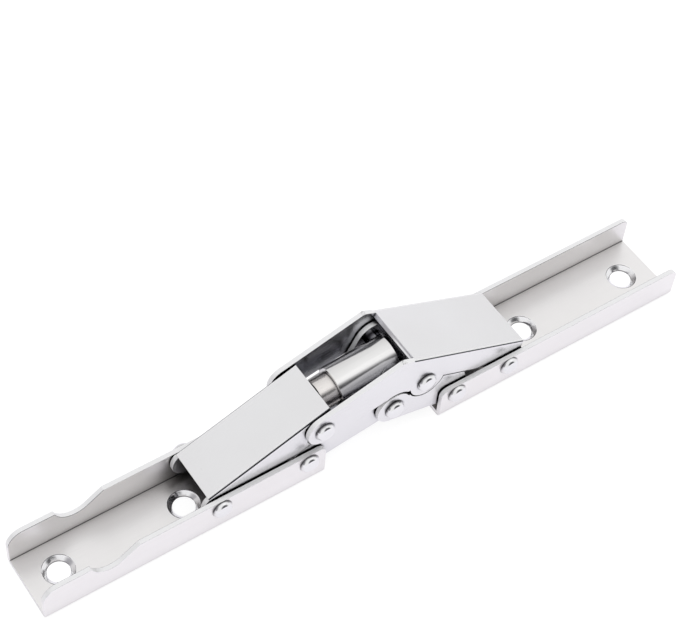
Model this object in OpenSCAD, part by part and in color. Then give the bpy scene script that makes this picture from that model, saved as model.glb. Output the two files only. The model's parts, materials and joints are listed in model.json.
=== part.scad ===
// Concealed folding hinge, drawn in its open state: both mounting channels lie flat,
// their webs on the ground plane and in one line. The narrow channel is on the left.
// The fold runs in the XZ plane. Every pivot pin lies along Y.

/* [Channels] */
// Length of the narrow, notched channel
narrow_length = 72.5; // [70:0.5:90]
// Length of the wide channel
wide_length = 72.5; // [70:0.5:90]
// Open distance between the two channels' fold ends
channel_gap = 31.7; // [31.4:0.1:32]
// Outer width of the narrow channel
narrow_width = 17.5; // [17.1:0.1:20]
// Flange height of the narrow channel
narrow_height = 10.2; // [9.8:0.1:11.4]
// Flange height of the wide channel
wide_height = 9.4; // [9.3:0.1:12]
// Thickness of the pressed steel sheet
sheet = 1.2; // [1.1:0.1:1.4]
// Outside radius of the channels' bends
channel_bend = 1.2; // [0.6:0.1:1.4]
// Running gap between flanges that pass each other
side_gap = 0.3; // [0.2:0.05:0.35]
// Radius of the narrow channel's flange corners at its far end
narrow_far_corner = 4; // [2:0.5:4]
// Radius of the wide channel's flange corners at its far end
wide_far_corner = 2; // [1:0.5:4]
// Radius of the narrow channel's flange corners at the fold
narrow_fold_corner = 2; // [1:0.5:4]
// Radius of the wide channel's flange corners at the fold
wide_fold_corner = 2; // [1:0.5:5]

/* [Parking notch] */
// Distance of the notch centre from the narrow channel's far end
notch_inset = 16.8; // [16.5:0.1:17]
// Height of the notch centre above the ground plane
notch_up = 11.8; // [11.6:0.1:12]
// Radius of the notch that takes the long arm's round end
notch_radius = 5.2; // [5:0.1:5.5]
// Slope of the notch's ramp, in degrees
notch_ramp = 33; // [30:1:40]

/* [Screw holes] */
// Diameter of the screw holes
hole_d = 5.4; // [4.5:0.1:5.6]
// Diameter of the countersinks on the inner face
sink_d = 7.6; // [7:0.1:8]
// Depth of the countersinks
sink_depth = 0.9; // [0.5:0.1:1]
// Distance between the two holes of a channel
hole_pitch = 32; // [25:1:40]
// Distance of the outer hole from the channel's far end
hole_inset = 8; // [6:0.5:10]

/* [Pivot places] */
// Fold pivot of the narrow channel, back from its fold end
fold_back = 4.6; // [4.4:0.1:4.8]
// Fold pivot of the narrow channel, above the ground plane
fold_up = 7.3; // [7:0.1:7.5]
// Inner pivot of the narrow channel, back from its fold end
inner_back = 27.8; // [27:0.1:28.5]
// Inner pivot of the narrow channel, above the ground plane
inner_up = 7.4; // [7.2:0.1:7.6]
// Fold pivot of the wide channel, in from its fold end
wide_fold_in = 4.4; // [4.2:0.1:4.8]
// Inner pivot of the wide channel, in from its fold end
wide_inner_in = 19.9; // [19.4:0.1:20.4]
// Both pivots of the wide channel, above the ground plane
wide_up = 6.8; // [6.7:0.1:7]
// Link pivot on the cross arm, out from the fold pivot
link_out = 23.2; // [23:0.1:23.4]
// Link pivot on the cross arm, up from the fold pivot
link_up = 4.3; // [4.1:0.1:4.5]
// Scissor pivot, out from the fold pivot
scissor_out = 31.8; // [31.6:0.1:32]
// Scissor pivot, up from the fold pivot
scissor_up = 8.6; // [8.4:0.1:8.8]
// Arm end pivot, out from the fold pivot
arm_end_out = 3.6; // [3.4:0.1:3.8]
// Arm end pivot, up from the fold pivot
arm_end_up = 10; // [9.9:0.1:10.2]
// Spring anchor on the cross arm, out from the fold pivot
anchor_out = 26.7; // [26.5:0.1:26.9]
// Spring anchor on the cross arm, up from the fold pivot
anchor_up = 12.1; // [12:0.1:12.3]

/* [Rivets] */
// Diameter of the rivet shanks
pin_d = 2.4; // [2:0.1:2.6]
// Diameter of the rivet heads
head_d = 4.9; // [4:0.1:5.2]
// Height of the rivet heads
head_h = 1.5; // [1:0.1:1.7]
// Height of the crown on top of the rivet heads' round shoulders
head_crown = 0.6; // [0.4:0.1:0.8]
// Diameter of the flat ended spring anchor pin
anchor_d = 4.4; // [4:0.1:4.8]
// Radial clearance of a pin in a hole that turns on it
pin_play = 0.05; // [0.02:0.01:0.09]
// Clearance round a pin in the slot of an opened pivot
slot_play = 0.15; // [0.1:0.01:0.2]
// Outer diameter of the spacer sleeves
sleeve_d = 4.2; // [3.6:0.1:4.3]
// End play of a sleeve, pin or head beside a moving flange
end_play = 0.1; // [0.05:0.01:0.2]

/* [Arms] */
// Outside radius of the arms' bends
arm_bend = 0.7; // [0.4:0.1:1.2]
// Radius of the long arm's round end
arm_end_radius = 4.3; // [4:0.1:4.6]
// Radius of the long arm's flange round the scissor pivot
scissor_radius = 4.7; // [4.4:0.1:4.9]
// Shift of that round part from the pivot towards the wide channel
scissor_shift = 0.4; // [0:0.1:0.6]
// Radius of the long arm's hidden end in the wide channel
arm_root_radius = 5.1; // [4.9:0.1:5.2]
// Highest corner of the long arm, out from the scissor pivot
arm_peak_out = -7.1; // [-7.5:0.1:-6.5]
// Highest corner of the long arm, up from the scissor pivot
arm_peak_up = 11.9; // [11.5:0.1:12.2]
// Rounding of the long arm's highest corner
arm_peak_radius = 2.5; // [1:0.5:4]
// Slope of the long arm's web, in degrees
arm_slope = 24.4; // [24:0.1:25]
// Length of the long arm's web along its slope
arm_web_length = 36.6; // [35:0.1:37]
// Distance from the highest corner to the web's start
arm_web_start = 3.5; // [3:0.1:5]
// Depth of the long arm's flange under its web
arm_depth = 6.8; // [6.2:0.1:7]
// Radius of the short link plates round the link pivot
link_radius = 4.5; // [4.2:0.1:4.5]
// Radius of the short link plates in the wide channel
link_root_radius = 4; // [3.6:0.1:4.8]
// Reach of the link plates' upper edge past their pivot in the wide channel
rim_past = 0.6; // [0:0.1:1.5]
// Radius of the cross arm and short arm round their pivots
lobe_radius = 4; // [3.6:0.1:4]
// Radius of the cross arm round the link pivot
cross_radius = 4.9; // [4.4:0.1:4.9]
// Radius of the cross arm's boss round the spring anchor
boss_radius = 4.5; // [4:0.1:4.6]
// Distance of the short arm's web face above its pivot line
short_web_up = 4.2; // [4:0.1:4.4]
// Length of the short arm's web before its inner pivot
short_web_before = 1.2; // [0.8:0.1:1.6]
// Length of the short arm's web past the arm end pivot
short_web_past = 3.8; // [3.5:0.1:4]
// Gap between arm edges that pass each other in one plane
edge_gap = 0.4; // [0.3:0.05:0.5]

/* [Spring unit] */
// Outer diameter of the spring tube
tube_d = 10.4; // [9.6:0.1:10.5]
// Wall of the spring tube
tube_wall = 0.7; // [0.5:0.1:0.8]
// Distance from the anchor to the spring tube's mouth
tube_reach = 15.6; // [14:0.1:16]
// Distance that the spring tube's closed end reaches past the anchor
tube_past = 0.2; // [0:0.05:0.25]
// Distance from the anchor to the end plug's face under the spring
plug_reach = 4.6; // [4.4:0.1:5]
// Thickness of the end plug that closes the tube's bore
plug_thick = 2; // [1.2:0.1:2.2]
// Wall of the end plug's eye round the anchor pin
plug_eye_wall = 0.8; // [0.6:0.1:0.9]
// Outer diameter of the plunger
plunger_d = 7.8; // [7:0.1:8]
// Wall of the plunger
plunger_wall = 0.8; // [0.5:0.1:0.9]
// Distance from the arm end pivot to the plunger's full diameter
plunger_start = 3.3; // [3.2:0.1:3.6]
// Length of plunger inside the tube in the open state
plunger_inside = 8; // [5:0.5:8.5]
// Wall of the plunger's eye round its slot
eye_wall = 0.7; // [0.6:0.05:0.75]
// Diameter of the spring wire
wire_d = 0.9; // [0.7:0.05:1]
// Mean diameter of the coils
coil_d = 4.7; // [4.4:0.1:4.8]
// Number of turns of the spring
coil_turns = 9; // [7:1:10]
// Diameter of the rod that guides the spring
guide_d = 2.6; // [2:0.1:2.8]

/* [Hidden] */

$fn = 64;
slack = 0.02;
far = 60;

// Channel ends along X, with the whole hinge centred on the origin
half_length = (narrow_length + channel_gap + wide_length) / 2;
narrow_far_x = -half_length;
narrow_fold_x = narrow_far_x + narrow_length;
wide_fold_x = half_length - wide_length;
wide_far_x = half_length;

// Half widths of the three nested layers of flanges
mid_half = narrow_width / 2;
outer_half = mid_half + side_gap + sheet;
inner_half = mid_half - sheet - side_gap;
pin_r = pin_d / 2;
running_r = pin_r + pin_play;

// Pivots as [x, z]
fold_pivot = [narrow_fold_x - fold_back, fold_up];
inner_pivot = [narrow_fold_x - inner_back, inner_up];
wide_fold_pivot = [wide_fold_x + wide_fold_in, wide_up];
wide_inner_pivot = [wide_fold_x + wide_inner_in, wide_up];
link_pivot = fold_pivot + [link_out, link_up];
scissor_pivot = fold_pivot + [scissor_out, scissor_up];
arm_end_pivot = fold_pivot + [arm_end_out, arm_end_up];
anchor = fold_pivot + [anchor_out, anchor_up];

function unit(v) = v / norm(v);
function left_of(v) = [-v[1], v[0]];
function angle_of(v) = atan2(v[1], v[0]);
function turned(v, angle) = v * cos(angle) + left_of(v) * sin(angle);

function turn_between(v, w) = atan2(cross(v, w), v * w);

// Where two circles meet, on the left (1) or right (-1) of the way from p to q
function meet(p, rp, q, rq, side) =
    let (
        run = norm(q - p),
        along = unit(q - p),
        a = (run * run + rp * rp - rq * rq) / (2 * run)
    )
    p + a * along + side * sqrt(max(0, rp * rp - a * a)) * left_of(along);

// The real linkage with the cross arm turned by x degrees: places of its pivots, in the
// order link, scissor, arm end, wide inner and wide fold
function linkage(x) =
    let (
        link = fold_pivot + turned(link_pivot - fold_pivot, x),
        scissor = fold_pivot + turned(scissor_pivot - fold_pivot, x),
        end = meet(inner_pivot, norm(arm_end_pivot - inner_pivot),
            scissor, norm(arm_end_pivot - scissor_pivot), 1),
        long = turn_between(arm_end_pivot - scissor_pivot, end - scissor),
        inner = scissor + turned(wide_inner_pivot - scissor_pivot, long),
        fold = meet(link, norm(wide_fold_pivot - link_pivot),
            inner, norm(wide_fold_pivot - wide_inner_pivot), -1)
    )
    [link, scissor, end, inner, fold];
function wide_turn_at(x) =
    let (at = linkage(x))
    turn_between(wide_inner_pivot - wide_fold_pivot, at[3] - at[4]);
function solve_turn(low, high, steps) =
    let (middle = (low + high) / 2)
    steps == 0 ? middle
    : wide_turn_at(middle) < wide_turn ? solve_turn(middle, high, steps - 1)
    : solve_turn(low, middle, steps - 1);

// Turn of each part over the whole fold, in degrees, and the plunger's travel
wide_turn = 90;
cross_turn = solve_turn(60, 140, 40);
closed = linkage(cross_turn);
closed_anchor = fold_pivot + turned(anchor - fold_pivot, cross_turn);
short_turn = turn_between(arm_end_pivot - inner_pivot, closed[2] - inner_pivot);
long_turn = turn_between(arm_end_pivot - scissor_pivot, closed[2] - closed[1]);
link_turn = turn_between(wide_fold_pivot - link_pivot, closed[4] - closed[0]);
tube_turn = turn_between(arm_end_pivot - anchor, closed[2] - closed_anchor);
plunger_travel = norm(closed[2] - closed_anchor) - norm(arm_end_pivot - anchor);
echo(cross_turn = cross_turn, short_turn = short_turn, long_turn = long_turn,
    link_turn = link_turn, tube_turn = tube_turn, plunger_travel = plunger_travel);

// Places of pivots at the part s of the fold
function scissor_at(s) = fold_pivot + turned(scissor_pivot - fold_pivot, s * cross_turn);
function link_at(s) = fold_pivot + turned(link_pivot - fold_pivot, s * cross_turn);
function anchor_at(s) = fold_pivot + turned(anchor - fold_pivot, s * cross_turn);
function arm_end_at(s) = scissor_at(s) + turned(arm_end_pivot - scissor_pivot, s * long_turn);
function wide_fold_at(s) = link_at(s) + turned(wide_fold_pivot - link_pivot, s * link_turn);
function wide_inner_at(s) =
    wide_fold_at(s) + turned(wide_inner_pivot - wide_fold_pivot, s * wide_turn);

// Places of the pins of the opened pivots, as seen from the parts with the slots
spring_unit = unit(arm_end_pivot - anchor);
function seen_from_short_arm(s) =
    inner_pivot + turned(arm_end_at(s) - inner_pivot, -s * short_turn);
function seen_from_long_arm(s) =
    scissor_pivot + turned(wide_inner_at(s) - scissor_at(s), -s * long_turn);
function seen_from_plunger(s) =
    anchor + turned(arm_end_at(s) - anchor_at(s), -s * tube_turn)
    - s * plunger_travel * spring_unit;
short_arm_path = [for (i = [0 : 9]) seen_from_short_arm(i / 10)];
long_arm_path = [for (i = [0 : 9]) seen_from_long_arm(i / 10)];
plunger_path = [for (i = [0 : 9]) seen_from_plunger(i / 10)];

// Unit direction of the common tangent on the left side of two circles
function tangent_side(p, rp, q, rq) =
    let (run = norm(q - p), turn = asin((rp - rq) / run), along = unit(q - p))
    along * sin(turn) + left_of(along) * cos(turn);

// The straight band between two discs, a hair inside their common tangents
module band(p, rp, q, rq) {
    side_a = tangent_side(p, rp, q, rq);
    side_b = tangent_side(q, rq, p, rp);
    near = rp - slack;
    away = rq - slack;
    polygon([p + near * side_a, q + away * side_a, q + away * side_b, p + near * side_b]);
}

module disc(p, r) {
    translate(p) circle(r);
}

// Area swept by a disc along a closed path, and what the path goes round
module swept(path, r) {
    polygon(path);
    for (i = [0 : len(path) - 1]) {
        disc(path[i], r);
        band(path[i], r, path[(i + 1) % len(path)], r);
    }
}

// Slot of an opened pivot, through everything along Y
module pin_slot(path) {
    along_y(-far / 2, far) swept(path, pin_r + slot_play);
}

// What is cut away to round the corner between two straight edges
module corner_cut(before, corner, after, r) {
    to_before = unit(before - corner);
    to_after = unit(after - corner);
    inward = unit(to_before + to_after);
    half_angle = acos(inward * to_after);
    run = r / tan(half_angle);
    centre = corner + r / sin(half_angle) * inward;
    difference() {
        polygon([corner + run * to_before, corner - inward, corner + run * to_after, centre]);
        disc(centre, r);
    }
}

// Extrudes an XZ outline along Y, from y to y + depth
module along_y(y, depth) {
    translate([0, y + depth, 0])
        rotate([90, 0, 0])
            linear_extrude(depth) children();
}

// A cylinder along Y, centred on the XZ plane
module cross_pin(pivot, r, length) {
    translate([pivot[0], length / 2, pivot[1]])
        rotate([90, 0, 0])
            cylinder(r = r, h = length);
}

// Rounds the two outside edges of a web whose outer face runs from p to q;
// the flanges lie on the left of that line
module bend_cut(p, q, half, bend) {
    along = unit(q - p);
    run = norm(q - p);
    for (side = [-1, 1])
        translate([p[0], 0, p[1]])
            rotate([0, -angle_of(along), 0])
                translate([-0.5, side * half, 0])
                    mirror([0, side > 0 ? 1 : 0, 0])
                        difference() {
                            translate([0, -1, -1]) cube([run + 1, bend + 1, bend + 1]);
                            translate([-1, bend, bend])
                                rotate([0, 90, 0]) cylinder(r = bend, h = run + 3);
                        }
}

// A pressed U section: two flanges with the child outline, and a web between them
module pressed_u(half, web_from, web_to, bend) {
    along = unit(web_to - web_from);
    difference() {
        union() {
            for (y = [-half, half - sheet])
                along_y(y, sheet) children();
            translate([web_from[0], 0, web_from[1]])
                rotate([0, -angle_of(along), 0])
                    translate([0, sheet / 2 - half, 0])
                        cube([norm(web_to - web_from), 2 * half - sheet, sheet]);
        }
        bend_cut(web_from, web_to, half, bend);
    }
}

// A countersunk screw hole through a web on the ground plane
module screw_hole(x) {
    translate([x, 0, -1]) cylinder(d = hole_d, h = sheet + 2);
    translate([x, 0, sheet - sink_depth])
        cylinder(d1 = hole_d, d2 = sink_d, h = sink_depth);
    translate([x, 0, sheet]) cylinder(d = sink_d, h = 1);
}

// A shank along Y with a crowned, round shouldered head on each end
module rivet(pivot, grip, play) {
    crown_r = (head_d * head_d / 4 + head_crown * head_crown) / (2 * head_crown);
    core = head_d / 2 - head_h;
    reach = grip + play;
    cross_pin(pivot, pin_r, 2 * reach + slack);
    for (side = [-1, 1])
        translate([pivot[0], side * reach, pivot[1]])
            rotate([-90 * side, 0, 0])
                rotate_extrude()
                    intersection() {
                        translate([0, head_h - crown_r]) circle(crown_r);
                        union() {
                            square([core, head_h + 1]);
                            translate([core, 0]) circle(head_h);
                        }
                        square([head_d, head_h + 1]);
                    }
}

// A plain tube along Y on a pivot
module sleeve(pivot, half) {
    difference() {
        cross_pin(pivot, sleeve_d / 2, 2 * half);
        cross_pin(pivot, pin_r, 2 * half + 2);
    }
}

// Side outline of a channel's flange, with its two upper corners rounded
module flange_outline(from, to, height, from_corner, to_corner) {
    difference() {
        translate([from, 0]) square([to - from, height]);
        corner_cut([from, 0], [from, height], [to, height], from_corner);
        corner_cut([from, height], [to, height], [to, 0], to_corner);
    }
}

module parking_notch() {
    centre = [narrow_far_x + notch_inset, notch_up];
    foot = centre + notch_radius * [sin(notch_ramp), -cos(notch_ramp)];
    top = foot + notch_radius / sin(notch_ramp) * [cos(notch_ramp), sin(notch_ramp)];
    disc(centre, notch_radius);
    polygon([centre, foot, top, [centre[0], top[1]]]);
}

module narrow_channel() {
    color("gainsboro")
        difference() {
            pressed_u(mid_half, [narrow_far_x, 0], [narrow_fold_x, 0], channel_bend)
                difference() {
                    flange_outline(narrow_far_x, narrow_fold_x, narrow_height,
                        narrow_far_corner, narrow_fold_corner);
                    parking_notch();
                }
            for (x = [hole_inset, hole_inset + hole_pitch])
                screw_hole(narrow_far_x + x);
            cross_pin(fold_pivot, pin_r, far);
            cross_pin(inner_pivot, pin_r, far);
        }
}

module wide_channel() {
    color("gainsboro")
        difference() {
            pressed_u(outer_half, [wide_fold_x, 0], [wide_far_x, 0], channel_bend)
                flange_outline(wide_fold_x, wide_far_x, wide_height,
                    wide_fold_corner, wide_far_corner);
            for (x = [hole_inset, hole_inset + hole_pitch])
                screw_hole(wide_far_x - x);
            cross_pin(wide_fold_pivot, pin_r, far);
            cross_pin(wide_inner_pivot, pin_r, far);
        }
}

// Directions along the long arm's web and square to it, towards the ground
arm_along = [cos(arm_slope), -sin(arm_slope)];
arm_inward = [-sin(arm_slope), -cos(arm_slope)];
arm_peak = scissor_pivot + [arm_peak_out, arm_peak_up];
arm_web_a = arm_peak + arm_web_start * arm_along;
arm_web_b = arm_web_a + arm_web_length * arm_along;
arm_lower = arm_web_a + arm_depth * arm_inward;
scissor_centre = scissor_pivot + [scissor_shift, 0];
arm_lower_length = (wide_inner_pivot - arm_lower) * arm_along - arm_root_radius + 1;

module long_arm_outline() {
    notch = link_radius + 2 * edge_gap;
    knee = link_pivot + notch * [-0.55, 0.9];
    end_r = arm_end_radius - slack;
    top_side = tangent_side(arm_end_pivot, end_r, arm_peak, 0);
    low_side = tangent_side(knee, 0, arm_end_pivot, end_r);
    shoulder = arm_end_pivot + end_r * top_side;
    difference() {
        union() {
            disc(arm_end_pivot, arm_end_radius);
            disc(scissor_centre, scissor_radius);
            disc(wide_inner_pivot, arm_root_radius);
            polygon([
                shoulder,
                arm_peak,
                arm_web_b,
                arm_web_b + 2 * sheet * arm_inward,
                wide_inner_pivot + (arm_root_radius - slack) * [1, 0],
                wide_inner_pivot,
                arm_lower + arm_lower_length * arm_along,
                arm_lower + scissor_radius * arm_along,
                scissor_pivot,
                link_pivot + 0.9 * notch * [0.6, 0.8],
                knee,
                arm_end_pivot + end_r * low_side
            ]);
        }
        disc(link_pivot, notch);
        corner_cut(shoulder, arm_peak, arm_web_b, arm_peak_radius);
    }
}

module long_arm() {
    color("silver")
        difference() {
            pressed_u(mid_half, arm_web_b - slack * arm_along, arm_web_a, arm_bend)
                long_arm_outline();
            cross_pin(arm_end_pivot, pin_r, far);
            cross_pin(scissor_pivot, running_r, far);
            pin_slot(long_arm_path);
        }
}

module cross_arm_outline() {
    disc(fold_pivot, lobe_radius);
    disc(link_pivot, cross_radius);
    disc(scissor_pivot, cross_radius);
    disc(anchor, boss_radius);
    band(fold_pivot, lobe_radius, link_pivot, cross_radius);
    band(link_pivot, cross_radius, scissor_pivot, cross_radius);
    band(scissor_pivot, cross_radius, anchor, boss_radius);
    band(anchor, boss_radius, link_pivot, cross_radius);
}

module cross_arm() {
    under = tangent_side(link_pivot, cross_radius, fold_pivot, lobe_radius);
    web_a = fold_pivot + (lobe_radius + slack) * under;
    web_b = link_pivot + (cross_radius + slack) * under;
    start = web_a + sheet * unit(web_b - web_a);
    color("silver")
        difference() {
            pressed_u(inner_half, start, web_b, arm_bend) cross_arm_outline();
            cross_pin(fold_pivot, running_r, far);
            cross_pin(link_pivot, pin_r, far);
            cross_pin(scissor_pivot, pin_r, far);
            cross_pin(anchor, anchor_d / 2, far);
        }
}

// Directions along the short arm's pivot line and square to it, towards its web
short_along = unit(arm_end_pivot - inner_pivot);
short_up = left_of(short_along);
short_web_a = inner_pivot - short_web_before * short_along + short_web_up * short_up;
short_web_b = arm_end_pivot + short_web_past * short_along + short_web_up * short_up;

module short_arm_outline() {
    disc(inner_pivot, lobe_radius);
    disc(arm_end_pivot, lobe_radius);
    band(inner_pivot, lobe_radius, arm_end_pivot, lobe_radius);
    polygon([
        short_web_a, short_web_b,
        short_web_b - short_web_up * short_up,
        inner_pivot - short_web_before * short_along
    ]);
}

module short_arm() {
    color("silver")
        difference() {
            pressed_u(inner_half, short_web_b, short_web_a, arm_bend) short_arm_outline();
            cross_pin(inner_pivot, running_r, far);
            pin_slot(short_arm_path);
        }
}

module link_outline() {
    under = tangent_side(wide_fold_pivot, link_root_radius, link_pivot, link_radius);
    rim = arm_lower + edge_gap * arm_inward;
    rim_length = (wide_fold_pivot - rim) * arm_along + rim_past;
    rim_end = rim + rim_length * arm_along;
    root_side = tangent_side(rim_end, 0, wide_fold_pivot, link_root_radius - slack);
    difference() {
        union() {
            disc(link_pivot, link_radius);
            disc(wide_fold_pivot, link_root_radius);
            polygon([
                link_pivot + (link_radius - slack) * under,
                wide_fold_pivot + (link_root_radius - slack) * under,
                wide_fold_pivot,
                wide_fold_pivot + (link_root_radius - slack) * root_side,
                rim_end,
                rim + scissor_radius * arm_along,
                scissor_pivot,
                link_pivot
            ]);
        }
        disc(scissor_centre, scissor_radius + edge_gap);
    }
}

module link_plate(y) {
    color("silver")
        difference() {
            along_y(y, sheet) link_outline();
            cross_pin(link_pivot, running_r, far);
            cross_pin(wide_fold_pivot, running_r, far);
        }
}

module link_plate_near() {
    link_plate(-mid_half);
}

module link_plate_far() {
    link_plate(mid_half - sheet);
}

module narrow_fold_rivet() {
    color("lightgray") rivet(fold_pivot, mid_half, 0);
}

module narrow_inner_rivet() {
    color("lightgray") rivet(inner_pivot, mid_half, 0);
}

module wide_fold_rivet() {
    color("lightgray") rivet(wide_fold_pivot, outer_half, 0);
}

module wide_inner_rivet() {
    color("lightgray") rivet(wide_inner_pivot, outer_half, 0);
}

module link_rivet() {
    color("lightgray") rivet(link_pivot, mid_half, end_play);
}

module scissor_rivet() {
    color("lightgray") rivet(scissor_pivot, mid_half, end_play);
}

module arm_end_rivet() {
    color("lightgray") rivet(arm_end_pivot, mid_half, 0);
}

module spring_anchor_pin() {
    color("lightgray") cross_pin(anchor, anchor_d / 2, 2 * (inner_half + side_gap - end_play));
}

module fold_sleeve() {
    color("darkgray") sleeve(fold_pivot, inner_half - sheet - end_play);
}

module link_sleeve() {
    color("darkgray") sleeve(wide_fold_pivot, mid_half - sheet - end_play);
}

// Places children on the spring's axis: X runs from the anchor to the arm end pivot
spring_run = norm(arm_end_pivot - anchor);
module on_spring_axis() {
    translate([anchor[0], 0, anchor[1]])
        rotate([0, -angle_of(arm_end_pivot - anchor), 0]) children();
}

// A solid or hollow round bar on the spring's axis
module axis_bar(from, to, d, bore) {
    translate([from, 0, 0])
        rotate([0, 90, 0])
            difference() {
                cylinder(d = d, h = to - from);
                if (bore > 0)
                    translate([0, 0, -1]) cylinder(d = bore, h = to - from + 2);
            }
}

tube_bore = tube_d - 2 * tube_wall;
plunger_far = spring_run - plunger_start;
plunger_near = tube_reach - plunger_inside;
floor_x = plunger_far - 1.4;

module spring_tube() {
    lip = tube_reach - 0.8;
    color("gray")
        difference() {
            on_spring_axis() {
                axis_bar(-tube_past, lip, tube_d, tube_bore);
                axis_bar(lip, tube_reach, tube_d, plunger_d + 2 * end_play);
            }
            cross_pin(anchor, anchor_d / 2 + pin_play, far);
        }
}

module tube_end_plug() {
    eye_r = anchor_d / 2 + plug_eye_wall;
    half = sqrt(tube_bore * tube_bore / 4 - eye_r * eye_r) - end_play;
    color("dimgray")
        on_spring_axis()
            difference() {
                union() {
                    axis_bar(plug_reach - plug_thick, plug_reach, tube_bore, 0);
                    cross_pin([0, 0], eye_r, 2 * half);
                    translate([0, -half, slack - eye_r])
                        cube([plug_reach - 1, 2 * half, 2 * (eye_r - slack)]);
                }
                cross_pin([0, 0], anchor_d / 2 + pin_play, far);
            }
}

module spring_guide_rod() {
    color("darkgray")
        on_spring_axis() axis_bar(plug_reach, floor_x - 2, guide_d, 0);
}

module spring_plunger() {
    color("gray")
        difference() {
            on_spring_axis() {
                axis_bar(plunger_near, floor_x, plunger_d, plunger_d - 2 * plunger_wall);
                axis_bar(floor_x, plunger_far, plunger_d, 0);
            }
            pin_slot(plunger_path);
        }
}

// A place beside the arm end pivot, along the spring's axis and up from it
function by_eye(along, up) =
    arm_end_pivot + along * spring_unit - up * left_of(spring_unit);

module plunger_eye() {
    half = plunger_d / 2 - 1;
    r = pin_r + slot_play + eye_wall;
    rise = r + (arm_end_pivot - plunger_path[5]) * left_of(spring_unit);
    color("dimgray")
        difference() {
            along_y(-half, 2 * half) {
                disc(arm_end_pivot, r);
                polygon([
                    by_eye(0, slack - r),
                    by_eye(-plunger_start - 1, slack - r),
                    by_eye(-plunger_start - 1, rise),
                    by_eye(-1.2, rise),
                    by_eye(0.6, 0.9 * r)
                ]);
            }
            pin_slot(plunger_path);
            on_spring_axis()
                translate([0, -far / 2, -far / 2]) cube([plunger_far, far, far]);
        }
}

// Wire swept along a helix, as one closed tube of triangles
coil_sides = 6;
coil_steps = 12;
coil_from = plug_reach + wire_d / 2 + 0.05;
coil_to = floor_x - wire_d / 2 - 0.05;
function coil_ring(i, r, shift) =
    let (count = coil_turns * coil_steps, turn = 360 * i / coil_steps)
    [coil_from + (coil_to - coil_from) * i / count + shift, r * cos(turn), r * sin(turn)];
function coil_centre(i) = coil_ring(i, coil_d / 2, 0);
function coil_point(i, j) =
    let (around = 360 * j / coil_sides)
    coil_ring(i, coil_d / 2 + wire_d / 2 * cos(around), wire_d / 2 * sin(around));

module coil_spring() {
    count = coil_turns * coil_steps;
    points = [for (i = [0 : count], j = [0 : coil_sides - 1]) coil_point(i, j)];
    walls = [
        for (i = [0 : count - 1], j = [0 : coil_sides - 1])
            let (
                k = (j + 1) % coil_sides,
                a = i * coil_sides + j,
                b = i * coil_sides + k,
                c = (i + 1) * coil_sides + k,
                d = (i + 1) * coil_sides + j
            )
            each [[a, b, c], [a, c, d]]
    ];
    start_cap = [for (j = [1 : coil_sides - 2]) [0, j + 1, j]];
    last = count * coil_sides;
    end_cap = [for (j = [1 : coil_sides - 2]) [last, last + j, last + j + 1]];
    echo(least_gap_of_coils = min([
        for (i = [0 : count - coil_steps], j = [-2 : 2])
            norm(coil_centre(i) - coil_centre(i + coil_steps + j)) - wire_d
    ]));
    color("slategray")
        on_spring_axis() polyhedron(points, concat(walls, start_cap, end_cap));
}

narrow_channel();
wide_channel();
long_arm();
cross_arm();
short_arm();
link_plate_near();
link_plate_far();
narrow_fold_rivet();
narrow_inner_rivet();
wide_fold_rivet();
wide_inner_rivet();
link_rivet();
scissor_rivet();
arm_end_rivet();
spring_anchor_pin();
fold_sleeve();
link_sleeve();
spring_tube();
tube_end_plug();
spring_guide_rod();
coil_spring();
spring_plunger();
plunger_eye();
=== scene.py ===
import json
import math
import bmesh
import bpy
from mathutils import Matrix, Vector

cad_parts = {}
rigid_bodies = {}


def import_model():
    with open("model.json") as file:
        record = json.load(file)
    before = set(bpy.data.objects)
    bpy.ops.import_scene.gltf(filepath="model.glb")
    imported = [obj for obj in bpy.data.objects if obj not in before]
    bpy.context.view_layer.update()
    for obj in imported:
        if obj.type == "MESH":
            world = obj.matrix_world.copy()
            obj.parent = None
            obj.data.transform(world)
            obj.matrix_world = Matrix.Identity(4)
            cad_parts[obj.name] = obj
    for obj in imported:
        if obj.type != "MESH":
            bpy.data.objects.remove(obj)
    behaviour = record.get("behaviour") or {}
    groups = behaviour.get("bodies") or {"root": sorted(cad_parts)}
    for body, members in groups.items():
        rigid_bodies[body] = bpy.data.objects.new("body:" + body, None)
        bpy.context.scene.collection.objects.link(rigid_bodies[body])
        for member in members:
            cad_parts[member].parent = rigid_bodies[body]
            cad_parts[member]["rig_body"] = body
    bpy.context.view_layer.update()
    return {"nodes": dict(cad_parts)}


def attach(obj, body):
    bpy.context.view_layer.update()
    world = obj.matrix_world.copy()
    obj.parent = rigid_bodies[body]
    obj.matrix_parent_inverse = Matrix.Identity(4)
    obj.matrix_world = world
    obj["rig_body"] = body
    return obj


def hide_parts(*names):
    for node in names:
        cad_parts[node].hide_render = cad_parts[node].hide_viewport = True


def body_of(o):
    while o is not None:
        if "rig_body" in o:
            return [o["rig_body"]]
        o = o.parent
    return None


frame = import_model()
NODES = frame["nodes"]
MM = 0.001


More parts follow.
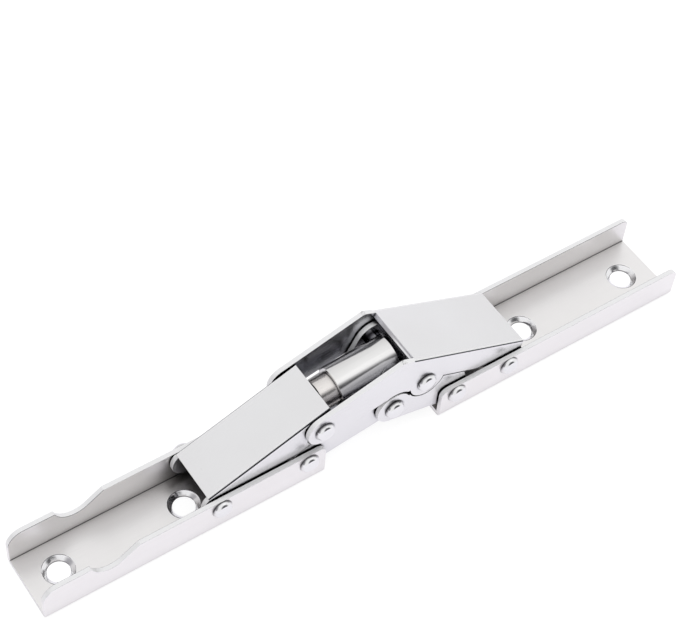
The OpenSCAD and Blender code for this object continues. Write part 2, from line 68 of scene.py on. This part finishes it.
# Shader helpers
class Shader:
    """Small wrapper that adds nodes and links them in one line each."""

    def __init__(self, tree):
        self.tree = tree
        self.tree.nodes.clear()

    def set_input(self, socket, value):
        if isinstance(value, bpy.types.NodeSocket):
            self.tree.links.new(value, socket)
        else:
            socket.default_value = value

    def add(self, kind, inputs=None, **props):
        node = self.tree.nodes.new(kind)
        for key, value in props.items():
            setattr(node, key, value)
        for key, value in (inputs or {}).items():
            self.set_input(node.inputs[key], value)
        return node

    def math(self, op, a, b=0.0, clamp=False):
        return self.add("ShaderNodeMath", {0: a, 1: b}, operation=op, use_clamp=clamp).outputs[0]

    def ramp(self, value, stops, mode="LINEAR"):
        node = self.add("ShaderNodeValToRGB", {0: value})
        node.color_ramp.interpolation = mode
        elements = node.color_ramp.elements
        while len(elements) > 1:
            elements.remove(elements[-1])
        for i, (place, colour) in enumerate(stops):
            stop = elements[0] if i == 0 else elements.new(place)
            stop.position = place
            stop.color = rgb(*colour) if hasattr(colour, "__len__") else rgb(colour, colour, colour)
        return node.outputs[0]

    def mix(self, factor, a, b):
        node = self.add("ShaderNodeMix", data_type="RGBA")
        for key, value in ((0, factor), (6, a), (7, b)):
            self.set_input(node.inputs[key], value)
        return node.outputs[2]

    def noise(self, vector, scale, detail, rough):
        return self.add("ShaderNodeTexNoise", {"Vector": vector, "Scale": scale,
                        "Detail": detail, "Roughness": rough}).outputs["Fac"]

    def mapped(self, vector, scale, turn=(0, 0, 0)):
        return self.add("ShaderNodeMapping", {"Vector": vector, "Scale": scale,
                        "Rotation": turn}).outputs[0]

    def openness(self, reach, **props):
        """How much of the surroundings within reach is free, from 0 to 1."""
        return self.add("ShaderNodeAmbientOcclusion", {"Distance": reach}, samples=AO_SAMPLES,
                        **props).outputs["AO"]

    def normal_part(self, axis):
        normal = self.add("ShaderNodeNewGeometry").outputs["Normal"]
        return self.add("ShaderNodeSeparateXYZ", {0: normal}).outputs[axis]


def rgb(*c):
    return (*c, 1.0)


# Steel. Texture scales are per metre, ramps are (place, value) pairs.
AO_SAMPLES = 16
CLOUD_SCALE = 55.0        # clouds in the plating
DRIFT_SCALE = 260.0       # slow changes of roughness
PATCH_SCALE = 120.0       # areas that carry scratches
PIT_SCALE = 5200.0
GRAIN_ALONG_X = (30, 1800, 1800)
GRAIN_ALONG_Y = (1800, 30, 1800)
GRAIN_ALONG_Z = (1400, 1400, 120)
SCRATCHES = (             # turn of the texture in radians, its stretch
    ((0.25, 0.1, 0.35), (70, 9000, 9000)),
    ((0.1, -0.3, -0.6), (90, 11000, 11000)),
    ((0.0, 0.5, 1.2), (120, 9500, 9500)),
)
SCRATCH_EDGE = [(0.70, 0.0), (0.76, 1.0)]
PATCH_EDGE = [(0.42, 0.0), (0.62, 1.0)]
PIT_EDGE = [(0.66, 0.0), (0.74, 1.0)]
CLOUD_EDGE = [(0.32, 0.0), (0.68, 1.0)]
GRAIN_EDGE = [(0.35, 0.0), (0.75, 1.0)]
SCRATCH_TONE = (0.66, 0.65, 0.66)
GRAIN_TINT, SCRATCH_TINT = 0.06, 0.25
GRAIN_DARKER = 0.6        # tone of the grain's streaks, times the plate's own
DRIFT_ROUGH, GRAIN_ROUGH, SCRATCH_ROUGH = 0.08, 0.06, 0.18
GRAIN_HEIGHT, SCRATCH_HEIGHT, PIT_HEIGHT = 0.5, -0.6, -0.8
BUMP_STRENGTH, BUMP_DEPTH = 0.05, 0.01 * MM

# Painted shade: ramps over the openness within a reach darken the colour in crevices, slits and
# seams.
DEEP_REACH, DEEP_FULL = 10 * MM, 0.10
SLIT_REACH, SLIT_RAMP, SLIT_SHADE = 3 * MM, [(0.26, 0.96), (0.48, 0.0)], (0.035, 0.034, 0.040)
SEAM_RAMP, SEAM_SHADE = [(0.50, 0.90), (0.84, 0.0)], (0.060, 0.058, 0.065)
HEAD_SEAM_RAMP = [(0.66, 0.95), (0.91, 0.0)]       # wider, for the painted shade on the rivets' shoulders
HEAD_LIFT, HEAD_UPWARD = 0.3, [(0.05, 0.0), (0.55, 1.0)]
# Painted shade inside the channels: darker on their inner walls and where the arms close them in.
BAY_REACH, BAY_SHADE = 26 * MM, (0.13, 0.12, 0.115)
BAY_WALL = [(0.60, 0.0), (0.90, 0.10)]             # painted shade on the inner walls, over the sideways part of the normal
BAY_AROUND = [(0.20, 0.58), (0.34, 0.14), (0.44, 0.0)]
BAY_OWN = [(0.70, 1.0), (0.92, 0.0)]               # leaves the channel's outer faces alone


def steel(name, tone, cloudy, rough, grain, scratch, pits, grain_axis=GRAIN_ALONG_X,
          shade=(0.33, 0.31, 0.295), shading=0.75, open_at=0.90, seam_reach=0.6,
          metal=1.0, rivet_head=False, bay=False):
    """Plated steel: clouded plating, drawing grain, fine scratches and pits, with painted shade
    darkening its crevices and the seams between pieces."""
    material = bpy.data.materials.new(name)
    material.use_nodes = True
    s = Shader(material.node_tree)
    place = s.add("ShaderNodeTexCoord").outputs["Object"]

    cloud = s.noise(place, CLOUD_SCALE, 4.0, 0.55)
    drift = s.noise(place, DRIFT_SCALE, 3.0, 0.6)
    lines = s.noise(s.mapped(place, grain_axis), 1.0, 3.0, 0.6)
    tint = s.mix(s.ramp(cloud, CLOUD_EDGE), rgb(*tone), rgb(*cloudy))
    streaks = s.math("MULTIPLY", s.ramp(lines, GRAIN_EDGE), GRAIN_TINT * grain)
    tint = s.mix(streaks, tint, rgb(*[c * GRAIN_DARKER for c in tone]))

    marks = None
    for turn, shape in SCRATCHES:
        streak = s.ramp(s.noise(s.mapped(place, shape, turn), 1.0, 1.0, 0.4), SCRATCH_EDGE)
        marks = streak if marks is None else s.math("MAXIMUM", marks, streak)
    patches = s.ramp(s.noise(place, PATCH_SCALE, 2.0, 0.5), PATCH_EDGE)
    marks = s.math("MULTIPLY", marks, patches)
    pit = s.ramp(s.noise(place, PIT_SCALE, 2.0, 0.5), PIT_EDGE)
    tint = s.mix(s.math("MULTIPLY", marks, SCRATCH_TINT * scratch), tint, rgb(*SCRATCH_TONE))

    # painted shade: the colour darkens where little is open within a few millimetres, in crevices
    # and under other pieces
    deep_painted_shade = s.ramp(s.openness(DEEP_REACH), [(DEEP_FULL, shading), (open_at, 0.0)])
    tint = s.mix(deep_painted_shade, tint, rgb(*shade))
    if bay:
        # painted shade inside the channel, on its walls and near the arms
        around = s.ramp(s.openness(BAY_REACH), BAY_AROUND)
        own = s.ramp(s.openness(BAY_REACH, only_local=True), BAY_OWN)
        wall = s.ramp(s.math("ABSOLUTE", s.normal_part(1)), BAY_WALL)
        bay_painted_shade = s.math("MULTIPLY", s.math("MAXIMUM", wall, around), own)
        tint = s.mix(bay_painted_shade, tint, rgb(*BAY_SHADE))
    # painted shade in narrow slits, then painted shade along the seams and around the rivet heads
    tint = s.mix(s.ramp(s.openness(SLIT_REACH), SLIT_RAMP), tint, rgb(*SLIT_SHADE))
    seam_painted_shade = s.ramp(s.openness(seam_reach * MM), HEAD_SEAM_RAMP if rivet_head else SEAM_RAMP)
    # painted shade on the rivet heads: only their upper sides, where the normal points up, are
    # darkened
    if rivet_head:
        upward = s.ramp(s.math("ADD", s.normal_part(2), HEAD_LIFT), HEAD_UPWARD)
        seam_painted_shade = s.math("MULTIPLY", seam_painted_shade, upward)
    tint = s.mix(seam_painted_shade, tint, rgb(*SEAM_SHADE))

    roughness = s.math("ADD", s.math("MULTIPLY", drift, DRIFT_ROUGH), rough - DRIFT_ROUGH / 2)
    roughness = s.math("ADD", roughness, s.math("MULTIPLY", lines, GRAIN_ROUGH * grain))
    roughness = s.math("ADD", roughness, s.math("MULTIPLY", marks, SCRATCH_ROUGH * scratch),
                       clamp=True)

    height = s.math("ADD", s.math("MULTIPLY", lines, GRAIN_HEIGHT * grain),
                    s.math("ADD", s.math("MULTIPLY", marks, SCRATCH_HEIGHT * scratch),
                           s.math("MULTIPLY", pit, PIT_HEIGHT * pits)))
    bump = s.add("ShaderNodeBump", {"Height": height, "Strength": BUMP_STRENGTH,
                                    "Distance": BUMP_DEPTH})
    shader = s.add("ShaderNodeBsdfPrincipled", {"Base Color": tint, "Metallic": metal,
                   "Roughness": roughness, "Normal": bump.outputs[0]})
    s.add("ShaderNodeOutputMaterial", {"Surface": shader.outputs[0]})
    return material


# shade and shading set each finish's painted shade in crevices, seam_reach how far its painted
# shade at seams reaches, bay the painted shade inside the channels
MAT = {
    "channel_plate": steel(
        "plated_sheet", (0.945, 0.93, 0.927), (0.92, 0.905, 0.90), rough=0.30, grain=0.5,
        scratch=0.5, pits=0.3, shading=0.85, open_at=0.66, seam_reach=0.45, bay=True),
    "arm_plate": steel(
        "polished_sheet", (0.88, 0.88, 0.89), (0.86, 0.855, 0.865), rough=0.24, grain=0.4,
        scratch=0.4, pits=0.1, shade=(0.36, 0.365, 0.42), shading=0.80, seam_reach=0.95),
    "rivet_steel": steel(
        "rivet_dome", (0.90, 0.90, 0.91), (0.86, 0.86, 0.87), rough=0.08, grain=0.2,
        scratch=0.4, pits=0.3, shading=0.3, seam_reach=1.5, rivet_head=True),
    "tube_steel": steel(
        "drawn_tube", (0.88, 0.875, 0.87), (0.83, 0.82, 0.815), rough=0.13, grain=0.9,
        scratch=0.5, pits=0.3, shade=(0.12, 0.12, 0.14), shading=0.35),
    "plunger_steel": steel(
        "ground_plunger", (0.90, 0.865, 0.84), (0.85, 0.82, 0.80), rough=0.24, grain=1.2,
        scratch=0.7, pits=0.4, shading=0.35),
    "plug_steel": steel(
        "cast_plug", (0.26, 0.26, 0.28), (0.20, 0.20, 0.21), rough=0.42, grain=0.3,
        scratch=0.3, pits=1.0, shade=(0.05, 0.05, 0.06), shading=0.9),
    "spring_wire": steel(
        "spring_wire", (0.30, 0.30, 0.32), (0.22, 0.22, 0.23), rough=0.30, grain=0.4,
        scratch=0.3, pits=0.3),
    "sleeve_steel": steel(
        "turned_sleeve", (0.60, 0.58, 0.55), (0.52, 0.50, 0.48), rough=0.33, grain=0.8,
        scratch=0.4, pits=0.4, grain_axis=GRAIN_ALONG_Y),
}
EDGE = steel("broken_edge", (0.93, 0.93, 0.94), (0.89, 0.89, 0.90), rough=0.14, grain=0.3,
             scratch=0.3, pits=0.2, grain_axis=GRAIN_ALONG_Z, shading=0.2)
RIM = steel("sheared_rim", (0.97, 0.97, 0.975), (0.94, 0.94, 0.945), rough=0.36, grain=0.5,
            scratch=0.3, pits=0.3, grain_axis=GRAIN_ALONG_Z, shading=0.25, metal=0.2)
# painted dark line: a painted reflection in the middle of the arms' bends and painted shade along
# the channels' inner rims
LINE = steel("painted_dark_line", (0.08, 0.08, 0.09), (0.13, 0.13, 0.14), rough=0.25, grain=0.3,
             scratch=0.3, pits=0.2, shading=0.2)


# Pieces
PLATE_FACE, BROKEN_EDGE, CUT_RIM, PAINTED_DARK_LINE, SINK_CONE = range(5)   # a sheet's material slots
WELD = 0.002 * MM
FLAT_ANGLE = math.radians(0.4)    # flatter than this, faces are joined
SHARP_ANGLE = math.radians(32)    # sharper than this, edges are broken
CHANNEL_BREAK, ARM_BREAK = 0.16 * MM, 0.14 * MM
RIM_WIDTH = 1.35 * MM             # the sheets' cut edges are narrower than this across the hinge
CONE_TOP, CONE_HALF = 1.3 * MM, 4 * MM   # the countersinks lie below and within these
NORMAL_WEIGHT = 60


def mark_faces(mesh, slot):
    """Gives cut edges and countersinks their own material, and the middle of the arms' bends a
    painted dark reflection line.
    """
    channel = slot == "channel_plate"
    for face in mesh.faces:
        across = [v.co.y for v in face.verts]
        slope = abs(face.normal.y)
        if (channel and 0.3 < face.normal.z < 0.9 and face.calc_center_median().z < CONE_TOP
                and abs(sum(across)) / len(across) < CONE_HALF):
            face.material_index = SINK_CONE
        elif max(across) - min(across) < RIM_WIDTH and slope < 0.5:
            face.material_index = CUT_RIM
        # painted reflection: a dark line along the middle of each bend of the arms
        elif not channel and 0.50 < slope < 0.87:
            face.material_index = PAINTED_DARK_LINE
        else:
            face.material_index = PLATE_FACE


def mark_inner_edges(mesh):
    """Broken edges that look up and towards the channel's middle get a painted dark shade line."""
    for face in mesh.faces:
        inward = -face.normal.y if face.calc_center_median().y > 0 else face.normal.y
        if face.material_index == BROKEN_EDGE and face.normal.z > 0.1 and inward > 0.12:
            face.material_index = PAINTED_DARK_LINE


def bevelled(node, width, slot):
    """The node's own shape with its sharp edges broken, as tumbled and plated sheet has."""
    source = NODES[node]
    mesh = bmesh.new()
    mesh.from_mesh(source.data)
    bmesh.ops.remove_doubles(mesh, verts=mesh.verts, dist=WELD)
    bmesh.ops.dissolve_limit(mesh, angle_limit=FLAT_ANGLE, verts=mesh.verts,
                             edges=mesh.edges, use_dissolve_boundaries=False)
    mark_faces(mesh, slot)
    edges = [e for e in mesh.edges
             if len(e.link_faces) == 2 and e.calc_face_angle(0) > SHARP_ANGLE]
    bmesh.ops.bevel(mesh, geom=edges, offset=width, offset_type="OFFSET", segments=2, profile=0.5,
                    affect="EDGES", clamp_overlap=True, material=BROKEN_EDGE, loop_slide=True)
    if slot == "channel_plate":
        mark_inner_edges(mesh)
    for face in mesh.faces:
        face.smooth = True
    data = bpy.data.meshes.new(node + "_finished")
    mesh.to_mesh(data)
    mesh.free()
    for material in (MAT[slot], EDGE, RIM, LINE, EDGE):
        data.materials.append(material)
    piece = bpy.data.objects.new(node + "_finished", data)
    bpy.context.scene.collection.objects.link(piece)
    weighted = piece.modifiers.new("flat_faces", "WEIGHTED_NORMAL")
    weighted.mode = "FACE_AREA"
    weighted.weight = NORMAL_WEIGHT
    weighted.keep_sharp = False
    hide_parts(node)
    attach(piece, body_of(source)[0])


for node in ("narrow_channel", "wide_channel"):
    bevelled(node, CHANNEL_BREAK, "channel_plate")
for node in ("long_arm", "cross_arm", "short_arm", "link_plate_near", "link_plate_far"):
    bevelled(node, ARM_BREAK, "arm_plate")

SLOT_OF = {
    "spring_anchor_pin": "rivet_steel",
    "fold_sleeve": "sleeve_steel",
    "link_sleeve": "sleeve_steel",
    "spring_tube": "tube_steel",
    "tube_end_plug": "plug_steel",
    "spring_guide_rod": "sleeve_steel",
    "coil_spring": "spring_wire",
    "spring_plunger": "plunger_steel",
    "plunger_eye": "plug_steel",
}
for node in NODES:
    if node.endswith("_rivet"):
        SLOT_OF[node] = "rivet_steel"
for node, slot in SLOT_OF.items():
    materials = NODES[node].data.materials
    if not materials:
        materials.append(MAT[slot])
    for i in range(len(materials)):
        materials[i] = MAT[slot]


# Studio
FLOOR_HALF = 3.0
FLOOR_GRAIN = 6.0
FLOOR_MATT = ((0.90, 0.90, 0.905), (0.92, 0.92, 0.92))    # what lights the hinge from below
FLOOR_FAINT = ((0.30, 0.30, 0.30), (0.32, 0.32, 0.32))    # holds the shadow that is seen
FLOOR_SEEN = (0.86, 0.86, 0.86)
FLOOR_IN_STEEL = (0.72, 0.706, 0.745)
SKY = [(0.00, (0.90, 0.895, 0.905)), (0.55, (0.96, 0.96, 0.96)),   # from -y to +y
       (0.76, (0.87, 0.87, 0.872)), (0.97, (0.76, 0.755, 0.76))]
SKY_SPOTS = (   # direction, cosine at the border, cosine where it is full, tone
    ((0.25, -0.90, 0.36), 0.76, 0.94, (0.09, 0.09, 0.095)),      # dark side of the tube
    ((-0.95, 0.10, 0.25), 0.80, 0.97, (0.40, 0.39, 0.41)),       # left sides of the rivets
    ((0.43, -0.24, 0.87), 0.945, 0.975, (1.09, 1.09, 1.09)),     # highlight of the key lamp
)
KEY_PLACE = Vector((0.45, -0.25, 0.90))
KEY_SIZE = (0.58, 0.36)
KEY_WATTS = 0.66


def ray_flag(s, *names):
    path = s.add("ShaderNodeLightPath")
    flag = path.outputs[names[0]]
    for name in names[1:]:
        flag = s.math("MAXIMUM", flag, path.outputs[name])
    return flag


def make_floor():
    """White floor: matt for the light on the hinge, a plain tone where it is seen."""
    data = bpy.data.meshes.new("floor")
    r = FLOOR_HALF
    data.from_pydata([(-r, -r, 0), (r, -r, 0), (r, r, 0), (-r, r, 0)], [], [(0, 1, 2, 3)])
    floor = bpy.data.objects.new("floor", data)
    bpy.context.scene.collection.objects.link(floor)
    material = bpy.data.materials.new("white_floor")
    material.use_nodes = True
    s = Shader(material.node_tree)
    place = s.add("ShaderNodeTexCoord").outputs["Object"]
    grain = s.noise(place, FLOOR_GRAIN, 2.0, 0.5)
    matt, faint = [
        s.add("ShaderNodeBsdfDiffuse", {"Color": s.mix(grain, rgb(*low), rgb(*high))}).outputs[0]
        for low, high in (FLOOR_MATT, FLOOR_FAINT)]
    tone = s.mix(ray_flag(s, "Is Glossy Ray"), rgb(*FLOOR_SEEN), rgb(*FLOOR_IN_STEEL))
    glow = s.add("ShaderNodeEmission", {"Color": tone, "Strength": 1.0})
    shown = s.add("ShaderNodeAddShader", {0: faint, 1: glow.outputs[0]})
    seen = ray_flag(s, "Is Camera Ray", "Is Glossy Ray", "Is Transmission Ray")
    both = s.add("ShaderNodeMixShader", {0: seen, 1: matt, 2: shown.outputs[0]})
    s.add("ShaderNodeOutputMaterial", {"Surface": both.outputs[0]})
    data.materials.append(material)


def make_world():
    """Pale sky with soft spots that the steel reflects, white where it is seen itself."""
    world = bpy.data.worlds.new("studio")
    bpy.context.scene.world = world
    world.use_nodes = True
    s = Shader(world.node_tree)
    way = s.add("ShaderNodeTexCoord").outputs["Generated"]
    part = s.add("ShaderNodeSeparateXYZ", {0: way})
    along_y = s.math("ADD", s.math("MULTIPLY", part.outputs[1], 0.5), 0.5)
    tone = s.ramp(along_y, SKY)
    for aim, border, full, shade in SKY_SPOTS:
        near = s.add("ShaderNodeVectorMath", {0: way, 1: Vector(aim).normalized()},
                     operation="DOT_PRODUCT").outputs["Value"]
        tone = s.mix(s.ramp(near, [(border, 0.0), (full, 1.0)], "EASE"), tone, rgb(*shade))
    seen = ray_flag(s, "Is Camera Ray", "Is Transmission Ray")
    sky = s.add("ShaderNodeBackground", {"Color": tone, "Strength": 1.0})
    white = s.add("ShaderNodeBackground", {"Color": rgb(1, 1, 1), "Strength": 1.0})
    both = s.add("ShaderNodeMixShader", {0: seen, 1: sky.outputs[0], 2: white.outputs[0]})
    s.add("ShaderNodeOutputWorld", {"Surface": both.outputs[0]})


def make_key_lamp():
    light = bpy.data.lights.new("key", "AREA")
    light.shape = "RECTANGLE"
    light.size, light.size_y = KEY_SIZE
    light.energy = KEY_WATTS
    key = bpy.data.objects.new("key", light)
    bpy.context.scene.collection.objects.link(key)
    key.location = KEY_PLACE
    key.rotation_euler = (-KEY_PLACE).to_track_quat("-Z", "Y").to_euler()
    key.visible_glossy = False   # its mirror image would burn out in the flat webs


make_floor()
make_world()
make_key_lamp()


# Camera, fitted to the photograph
LENS, SENSOR = 97.287, 36.0       # millimetres
CLIP = (0.01, 20.0)
VIEW_PLACE = Vector((-0.161749, -0.191617, 0.357074))
VIEW_RIGHT = Vector((0.827620, -0.557775, 0.062701))
VIEW_DOWN = Vector((-0.407736, -0.674214, -0.615782))

camera = bpy.data.cameras.new("view")
camera.sensor_fit = "HORIZONTAL"
camera.sensor_width = SENSOR
camera.lens = LENS
camera.clip_start, camera.clip_end = CLIP
viewer = bpy.data.objects.new("view", camera)
bpy.context.scene.collection.objects.link(viewer)
ahead = VIEW_RIGHT.cross(VIEW_DOWN)
turned = Matrix((VIEW_RIGHT, -VIEW_DOWN, -ahead)).transposed().to_4x4()
viewer.matrix_world = Matrix.Translation(VIEW_PLACE) @ turned
bpy.context.scene.camera = viewer
bpy.context.scene.view_settings.view_transform = "Standard"
